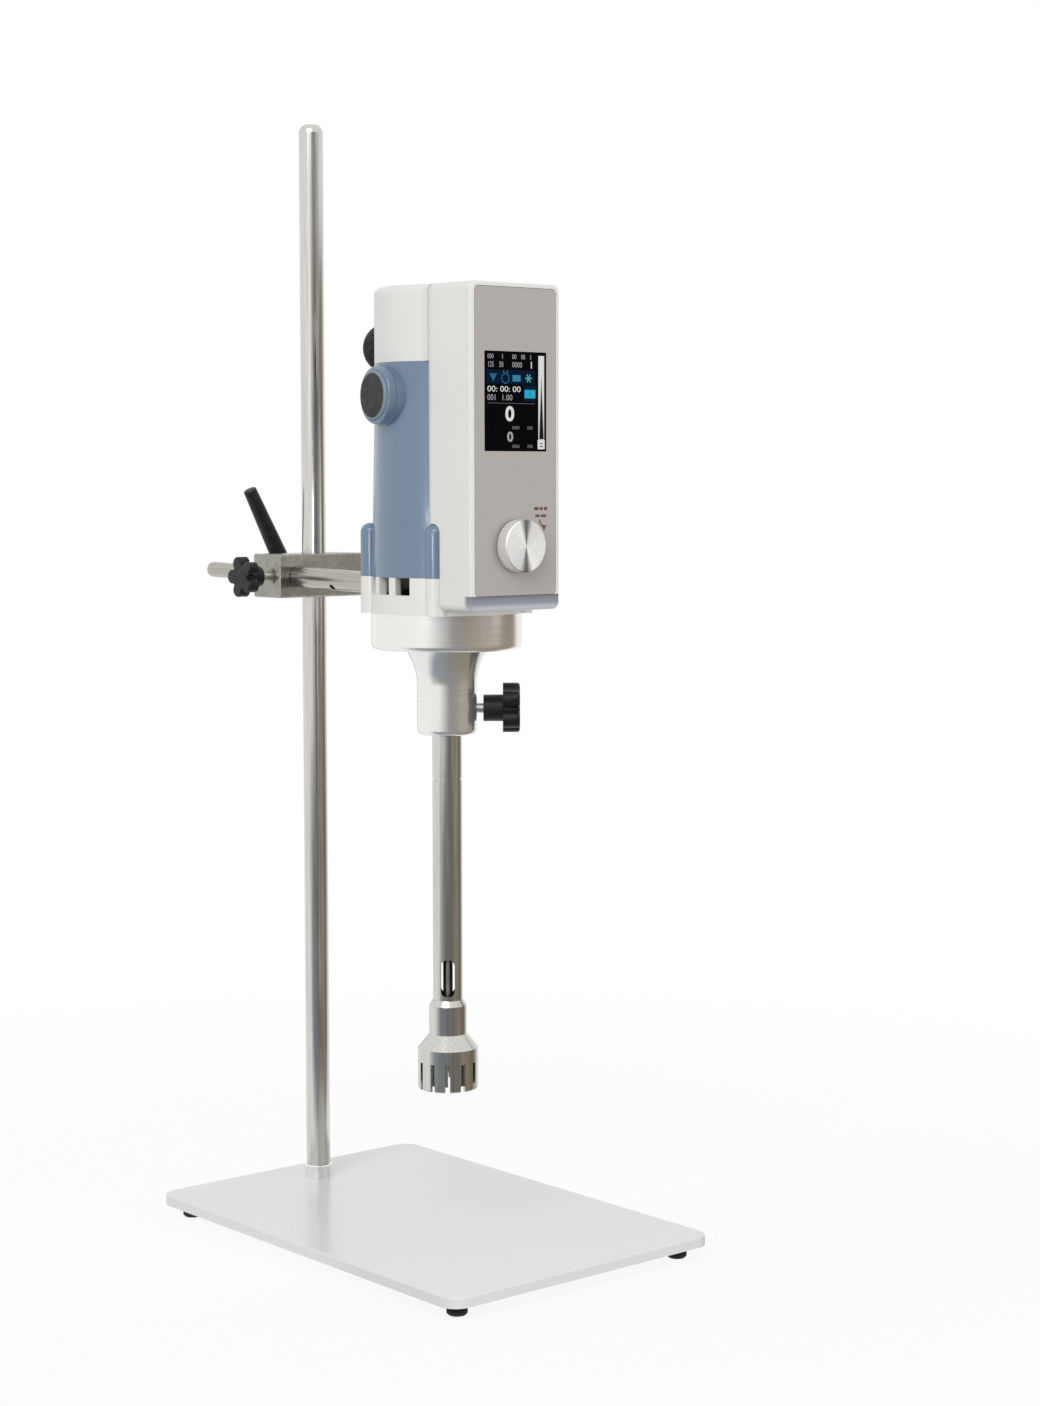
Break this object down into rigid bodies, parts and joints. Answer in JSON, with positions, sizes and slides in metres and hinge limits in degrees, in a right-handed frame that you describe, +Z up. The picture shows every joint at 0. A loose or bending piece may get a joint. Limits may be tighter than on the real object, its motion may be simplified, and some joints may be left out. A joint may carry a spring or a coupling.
{
  "type": "rotor stator homogenizer",
  "caption": "Bench rotor-stator homogenizer: a motor head with a touch display and knob, clamped by its arm to a plate stand, driving a slotted dispersing tool.",
  "frame": {"origin": "centre of the whole machine's footprint, at the height of the bench under the rubber feet", "axes": "+Z up along the stand rod, -Y towards the user, +X to the user's right"},
  "size_m": [0.21, 0.36, 0.72],
  "materials": {
    "white_enamel": "glossy white stove enamel on steel plate",
    "black_rubber": "matt black rubber",
    "red_rubber": "red rubber ring",
    "zinc_steel": "plain zinc-plated steel",
    "stainless_bright": "bright polished stainless steel",
    "stainless_satin": "satin ground stainless steel",
    "nickel_plated": "nickel-plated steel, lightly brushed",
    "black_plastic": "black moulded phenolic plastic",
    "light_grey_enamel": "light grey powder coat on cast aluminium",
    "turned_aluminium": "fine-turned bare aluminium",
    "cast_aluminium": "as-cast aluminium",
    "blue_enamel": "grey-blue gloss enamel on cast aluminium",
    "white_moulding": "off-white moulded plastic, slight gloss",
    "warm_grey_panel": "warm grey silk-matt front panel",
    "screen_glass": "black display glass",
    "board_green": "green circuit board",
    "brass_parts": "plain brass",
    "graphite": "pressed carbon",
    "electrical_steel": "stacked electrical steel sheet",
    "copper_wire": "enamelled copper",
    "fan_plastic": "black nylon",
    "white_plastic": "white low-friction plastic"
  },
  "bodies": {
    "stand": {"base_plate": "white_enamel", "rubber_feet": "black_rubber", "foot_screws": "zinc_steel", "stand_rod": "stainless_bright", "rod_base_collar": "stainless_satin", "rod_bolt": "zinc_steel"},
    "clamp": {"clamp_block": "nickel_plated"},
    "rod_lever": {"rod_clamp_screw": "zinc_steel", "rod_clamp_lever": "black_plastic"},
    "arm_knob": {"arm_clamp_screw": "zinc_steel", "arm_clamp_knob": "black_plastic"},
    "head": {"support_arm": "stainless_satin", "vent_collar": "light_grey_enamel", "mounting_flange": "turned_aluminium", "tool_socket": "turned_aluminium", "motor_housing": "blue_enamel", "housing_screws": "zinc_steel", "control_housing": "white_moulding", "front_panel": "warm_grey_panel", "display_glass": "screen_glass", "display_module": "black_plastic", "control_board": "board_green", "board_standoffs": "brass_parts", "encoder_body": "black_plastic", "brush_holders": "brass_parts", "carbon_brushes": "graphite", "brush_springs": "zinc_steel", "brush_caps": "black_plastic", "motor_stator_core": "electrical_steel", "field_windings": "copper_wire", "lower_bearing": "zinc_steel", "upper_bearing": "zinc_steel", "bearing_bracket": "cast_aluminium", "inlet_socket": "black_plastic", "inlet_cap": "black_rubber"},
    "motor_rotor": {"armature": "electrical_steel", "commutator": "copper_wire", "motor_shaft": "stainless_satin", "cooling_fan": "fan_plastic", "drive_coupling": "stainless_satin"},
    "tool": {"generator_tube": "stainless_bright", "tool_o_ring": "red_rubber", "stator_head": "stainless_bright", "shaft_bushings": "white_plastic"},
    "tool_rotor": {"generator_shaft": "stainless_satin", "drive_tongue": "stainless_satin", "rotor_head": "stainless_satin"},
    "tool_knob": {"tool_clamp_screw": "zinc_steel", "tool_clamp_knob": "black_plastic"},
    "encoder_slider": {"encoder_plunger": "stainless_satin"},
    "panel_knob": {"encoder_shaft": "stainless_satin", "control_knob": "turned_aluminium"}
  },
  "joints": [
    {"name": "clamp_height", "type": "slide", "parent": "stand", "child": "clamp", "axis": [0, 0, 1], "range_m": [-0.08, 0.27]},
    {"name": "arm_reach", "type": "slide", "parent": "clamp", "child": "head", "axis": [0, -0.9997, -0.0227], "range_m": [0, 0.06]},
    {"name": "rod_clamp_turn", "type": "hinge", "parent": "clamp", "child": "rod_lever", "pos_m": [0, 0.1094, 0.42416], "axis": [0, 1, 0], "range_deg": [-15, 90]},
    {"name": "arm_clamp_turn", "type": "hinge", "parent": "clamp", "child": "arm_knob", "pos_m": [-0.0387, 0.0884, 0.42416], "axis": [-1, 0, 0], "range_deg": [0, 360]},
    {"name": "motor_spin", "type": "hinge", "parent": "head", "child": "motor_rotor", "pos_m": [-0.024, -0.076, 0.39], "axis": [0, 0, 1], "continuous": true},
    {"name": "tool_release", "type": "slide", "parent": "head", "child": "tool", "axis": [0, 0, -1], "range_m": [0, 0.06]},
    {"name": "tool_spin", "type": "hinge", "parent": "tool", "child": "tool_rotor", "pos_m": [-0.024, -0.076, 0.1703], "axis": [0, 0, 1], "continuous": true},
    {"name": "tool_clamp_turn", "type": "hinge", "parent": "head", "child": "tool_knob", "pos_m": [-0.00975, -0.08796, 0.3472], "axis": [0.766, -0.6428, 0], "range_deg": [0, 360]},
    {"name": "knob_push", "type": "slide", "parent": "head", "child": "encoder_slider", "axis": [0, 1, 0], "range_m": [0, 0.0008], "stiffness_N_per_m": 2000, "springref_m": -0.001},
    {"name": "knob_turn", "type": "hinge", "parent": "encoder_slider", "child": "panel_knob", "pos_m": [-0.024, -0.1416, 0.4481], "axis": [0, -1, 0], "continuous": true}
  ],
  "couplings": [
    {"joint": "tool_spin", "follows": "motor_spin", "ratio": 1}
  ]
}
